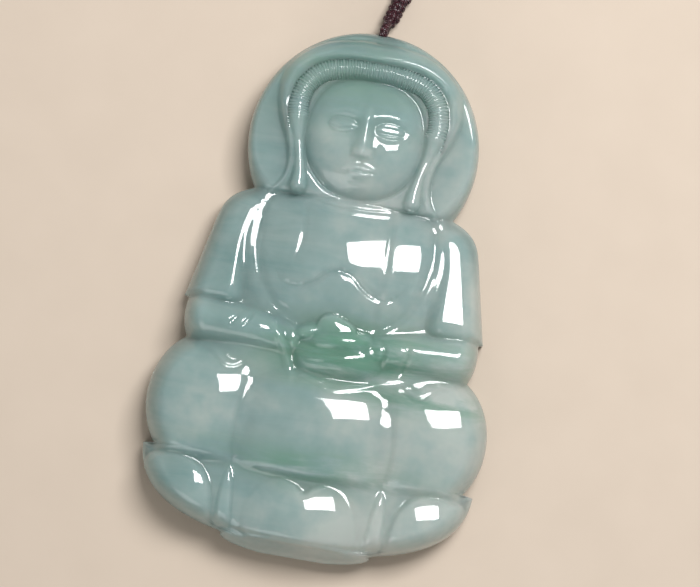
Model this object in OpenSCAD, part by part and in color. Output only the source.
// Carved jade pendant: a seated figure on a lotus seat, hung on a braided neck cord.
// It lies on its flat back. +Z is out of its face, +Y is towards its head, and the
// origin is under its middle, on the surface that it lies on.

/* [Stone] */
// Height of the stone, from the lotus seat to the top of the halo
stone_h = 66; // [62:0.5:70]
// Greatest thickness of the stone, at the face and the hands
stone_t = 11; // [10:0.25:12]
// Radius of the halo disc behind the head
halo_r = 14.4; // [14:0.1:15]
// Half the width over the knees
knee_w = 21.3; // [20.5:0.1:22]
// Half the width over the lotus petals
petal_w = 20.9; // [20.5:0.1:21.3]
// Half the width over the elbows
elbow_w = 18.8; // [18.2:0.1:19.4]

/* [Cord hole] */
// Diameter of the hole drilled from the top edge to the back
hole_d = 1.8; // [1.6:0.1:1.9]
// Radius of the groove behind the rim that the thread lies in
groove_r = 1.35; // [1.3:0.05:1.45]

/* [Cord] */
// Diameter of the braided thread
cord_d = 1.05; // [0.9:0.05:1.1]
// Diameter of the collar knot
collar_d = 2; // [1.8:0.1:2.2]
// Length of the collar knot
collar_len = 4.2; // [3.6:0.2:5]
// Radius at the middle of the coil's turns
coil_mid_r = 6; // [5.6:0.2:6.2]
// Diameter of the sliding knot
slider_d = 3; // [2.8:0.1:3.2]
// Length of the sliding knot
slider_len = 5; // [4:0.5:6]
// Diameter of a stopper knot
stopper_d = 2.7; // [2.4:0.1:2.8]

/* [Hidden] */

half_h = stone_h / 2;
jade = "#8fa9a5";
maroon = "#3b1624";

// ---- The stone's outline: half its width at a height v above the seat's lower edge.
halo_v = stone_h - halo_r;
function ellipse_w(v, mid, reach, least, more, p = 2) =
    abs(v - mid) < reach ? least + more * pow(1 - pow(abs(v - mid) / reach, p), 1 / p) : 0;
function halo_w(v) = v > halo_v - 12 ? sqrt(max(0.5, pow(halo_r, 2) - pow(v - halo_v, 2))) : 0;
function arm_w(v) = v > 29.8 && v < 45.9
    ? (elbow_w - 0.22 * (v - 29.8)) * sqrt(1 - pow(max(0, v - 38) / 8, 5)) : 0;
function sleeve_w(v) = ellipse_w(v, 28, 4.6, 15.6, 2.8);
function knee_half_w(v) = ellipse_w(v, 17.2, 8.6, knee_w - 6.8, 6.8);
function petal_half_w(v) = v < 11.2 ? ellipse_w(v, 12, 10.8, 0, petal_w + 0.2, 2.5) : 0;
function foot_w(v) = v < 1.6 ? ellipse_w(v, 1.6, 1.75, 0, 9.4) : v < 3 ? 9.3 : 0;
function half_w(v) =
    max(halo_w(v), arm_w(v), sleeve_w(v), knee_half_w(v), petal_half_w(v), foot_w(v));

// ---- The carved front: the highest of a few smooth domes, each [u, v, half width,
// half height, height of its top as a share of the thickness, roundness].
DOMES = [[0, halo_v, halo_r + 0.1, halo_r + 0.1, 0.46, 8],
         [0, 54.6, 12, 10.4, 0.88, 2.3],
         [0, 49, 7.6, 6, 0.84, 2.3],
         [0, 33, 15.5, 14, 0.74, 2.6],
         [0, 27, 18.6, 6.2, 0.8, 2.6],
         [0, 26.4, 7, 4.6, 0.94, 2.2],
         [0, 16.2, 9.6, 8.6, 0.9, 2.4],
         [0, 6, 21, 7, 0.7, 2.6]];
PAIRED_DOMES = [[14.3, 36.5, 5.2, 9.6, 0.62, 2.3],
                [9.8, 27.6, 9.2, 4.8, 0.8, 2.3],
                [13.4, 17.4, 8.2, 8.2, 0.84, 2.4]];
edge_z = 0.24 * stone_t;
function dome_z(u, v, d) =
    let (q = 1 - pow(abs(u - d[0]) / d[2], d[5]) - pow(abs(v - d[1]) / d[3], d[5]))
    edge_z + (d[4] * stone_t - edge_z) * (q > 0 ? sqrt(q) : 0);
function slab_z(s, v) =
    edge_z + 0.2 * stone_t * sqrt(max(0, 1 - pow(s, 6))) * min(1, sqrt(max(0, v * (stone_h - v)) / 60));
function front_z(s, v) =
    let (u = s * half_w(v))
    max(concat([slab_z(s, v)], [for (d = DOMES) dome_z(u, v, d)],
               [for (d = PAIRED_DOMES) dome_z(abs(u), v, d)]));

// ---- The stone as one closed skin: the front's rows and columns, a rounded side, a flat back.
rows = 56;
cols = 34;
side_z = 0.09 * stone_t;
side_in = 0.99;
back_in = 0.96;
function row_v(i) = half_h * (1 - cos(180 * i / rows));
function col_s(j) = sin(90 * (2 * j / cols - 1));
function front_point(i, j) =
    let (v = row_v(i), s = col_s(j), rim = i == 0 || i == rows || j == 0 || j == cols)
    [s * half_w(v), v - half_h, rim ? edge_z : front_z(s, v)];
RIM = concat([for (j = [0:cols]) [0, j]], [for (i = [1:rows]) [i, cols]],
             [for (j = [cols - 1:-1:0]) [rows, j]], [for (i = [rows - 1:-1:1]) [i, 0]]);
function rim_ring(share, z) =
    [for (r = RIM) let (p = front_point(r[0], r[1])) [share * p.x, share * p.y, z]];

module stone_skin() {
    n = len(RIM);
    per_row = cols + 1;
    first_side = (rows + 1) * per_row;
    first_back = first_side + n;
    rim_index = [for (r = RIM) r[0] * per_row + r[1]];
    front = [for (i = [0:rows - 1]) for (j = [0:cols - 1]) let (a = i * per_row + j)
        each [[a, a + per_row, a + 1], [a + 1, a + per_row, a + per_row + 1]]];
    side = [for (k = [0:n - 1]) let (m = (k + 1) % n)
        each [[rim_index[k], rim_index[m], first_side + k],
              [rim_index[m], first_side + m, first_side + k],
              [first_side + k, first_side + m, first_back + k],
              [first_side + m, first_back + m, first_back + k]]];
    polyhedron(points = concat([for (i = [0:rows]) for (j = [0:cols]) front_point(i, j)],
                               rim_ring(side_in, side_z), rim_ring(back_in, 0)),
               faces = concat(front, side, [[for (k = [0:n - 1]) first_back + k]]));
}

// ---- The hole and the loop of thread through it.
hole_top = [0, half_h, 3.6];
hole_slope = 28.3;
groove_start = half_h - 4.7;

// A tube of round section along a list of points.
function unit(a) = a / norm(a);
function along(p, i) = unit(p[min(i + 1, len(p) - 1)] - p[max(i - 1, 0)]);
function ring(p, i, d, sides) =
    let (t = along(p, i), side = unit(cross(t, abs(t.z) < 0.9 ? [0, 0, 1] : [1, 0, 0])),
         up = cross(side, t))
    [for (k = [0:sides - 1]) let (a = 360 * (k + 0.5) / sides)
        p[i] + d / 2 * (cos(a) * side + sin(a) * up)];
module tube(p, d, sides = 8) {
    n = len(p);
    polyhedron(points = [for (i = [0:n - 1]) each ring(p, i, d, sides)],
               faces = concat([[for (k = [0:sides - 1]) k]],
                              [for (i = [0:n - 2]) for (k = [0:sides - 1])
                                  let (a = i * sides + k, b = i * sides + (k + 1) % sides)
                                  each [[a, a + sides, b], [b, a + sides, b + sides]]],
                              [[for (k = [sides - 1:-1:0]) (n - 1) * sides + k]]));
}

// The loop's route: over the top edge, down the hole, round and back behind the rim.
LOOP_ROUTE = [[0.35, 34.7, 2.1], [0.2, 34.35, 2.9], [0.1, 33.95, 3.5], [0, 33.4, 3.7], [0, 32.6, 3.38],
              [0, 31.6, 2.85], [0, 30.6, 2.31], [0, 29.75, 1.83], [0, 29.25, 1.55], [0, 29.05, 1.2],
              [0, 29.2, 0.8], [0, 29.7, 0.6], [0, 30.6, 0.56], [0, 31.8, 0.56], [0, 33, 0.56],
              [0.1, 33.8, 0.65], [0.35, 34.7, 0.95]];

// The two strands from the collar knot to the coil.
collar_at = [0.42, 34.5, 1.5];
cord_turn = 16;
heading = [sin(cord_turn), cos(cord_turn), 0];
aside = [cos(cord_turn), -sin(cord_turn), 0];
strand_gap = 1.3;
coil_at = [-3.6, 48.4, 0];
LEAD = [[collar_len - 0.2, 1.15], [collar_len + 1.6, 0.95], [collar_len + 4, 0.65], [collar_len + 7, 0.56]];
function lead_route(side) =
    [for (p = LEAD) [collar_at.x, collar_at.y, 0] + p[0] * heading + side * strand_gap / 2 * aside
                    + [0, 0, p[1]]];

// The coil: two strands side by side, four turns high and two turns wide.
coil_rows = 4;
coil_w = 4 * 1.1 + 0.1;
coil_h = (coil_rows - 1) * 1.1 + cord_d;
coil_round = 0.5;
tie_t = 0.45;
tie_w = 2.4;
tie_turn = 215;

// The straight stretch that the sliding knot rides on, beside the coil.
tail_y = coil_at.y + 7.1;
tail_z = slider_d / 2;
tail_start = coil_at.x - 4;
slider_x = -11.2;
stopper_x = -19.8;
run_fit = 0.05;

// The carved stone, brought to its exact size.
module jade_figure() color(jade) resize([2 * knee_w, stone_h, stone_t]) difference() {
    stone_skin();
    translate(hole_top) rotate([90 + hole_slope, 0, 0])
        cylinder(h = 20, d = hole_d, center = true, $fn = 32);
    translate([0, groove_start, 0]) rotate([-90, 0, 0])
        cylinder(h = 10, r = groove_r, $fn = 48);
}

module hanging_loop() color(maroon) tube(LOOP_ROUTE, cord_d);

// A knot as a turned barrel with round ends, along +Y.
module barrel(d, len) rotate([-90, 0, 0]) rotate_extrude($fn = 32) {
    translate([0, d / 4]) square([d / 2, len - d / 2]);
    square([d / 4, len]);
    for (y = [d / 4, len - d / 4]) translate([d / 4, y]) circle(d = d / 2, $fn = 32);
}

module collar_knot() color(maroon) translate(collar_at) rotate([-4, 0, -cord_turn])
    barrel(collar_d, collar_len);

module neck_cord_lead() color(maroon) for (side = [-1, 1]) tube(lead_route(side), cord_d);

module neck_cord_coil() color(maroon) translate(coil_at) rotate_extrude($fn = 96)
    translate([coil_mid_r - coil_w / 2, 0]) rounded(coil_w, coil_h, coil_round);

// A rectangle with rounded corners, from its own corner.
module rounded(w, h, r) {
    translate([r, 0]) square([w - 2 * r, h]);
    translate([0, r]) square([w, h - 2 * r]);
    for (x = [r, w - r], y = [r, h - r]) translate([x, y]) circle(r = r, $fn = 24);
}

module coil_tie() color(maroon) translate(coil_at) rotate([0, 0, tie_turn])
    translate([coil_mid_r, 0, 0]) rotate([90, 0, 0])
    linear_extrude(tie_w, center = true) difference() {
        translate([-coil_w / 2 - tie_t, 0]) rounded(coil_w + 2 * tie_t, coil_h + tie_t, coil_round + tie_t);
        translate([-coil_w / 2, tie_t]) rounded(coil_w, coil_h - tie_t, coil_round);
    }

module strand(side, from, to) translate([from, tail_y + side * strand_gap / 2, tail_z])
    rotate([0, -90, 0]) cylinder(h = from - to, d = cord_d, $fn = 24);

module neck_cord_tails() color(maroon) for (side = [-1, 1]) strand(side, tail_start, stopper_x);

module sliding_knot() color(maroon) difference() {
    translate([slider_x, tail_y, tail_z]) rotate([0, 0, 90]) barrel(slider_d, slider_len);
    for (side = [-1, 1]) translate([slider_x, tail_y + side * strand_gap / 2, tail_z])
        rotate([0, 90, 0]) cylinder(h = 3 * slider_len, d = cord_d + 2 * run_fit, center = true, $fn = 24);
}

module stopper(side) color(maroon)
    translate([stopper_x, tail_y + side * (stopper_d / 2 + 0.05), stopper_d / 2])
    sphere(d = stopper_d, $fn = 32);

module stopper_knot_left() stopper(-1);
module stopper_knot_right() stopper(1);

jade_figure();
hanging_loop();
collar_knot();
neck_cord_lead();
neck_cord_coil();
coil_tie();
neck_cord_tails();
sliding_knot();
stopper_knot_left();
stopper_knot_right();
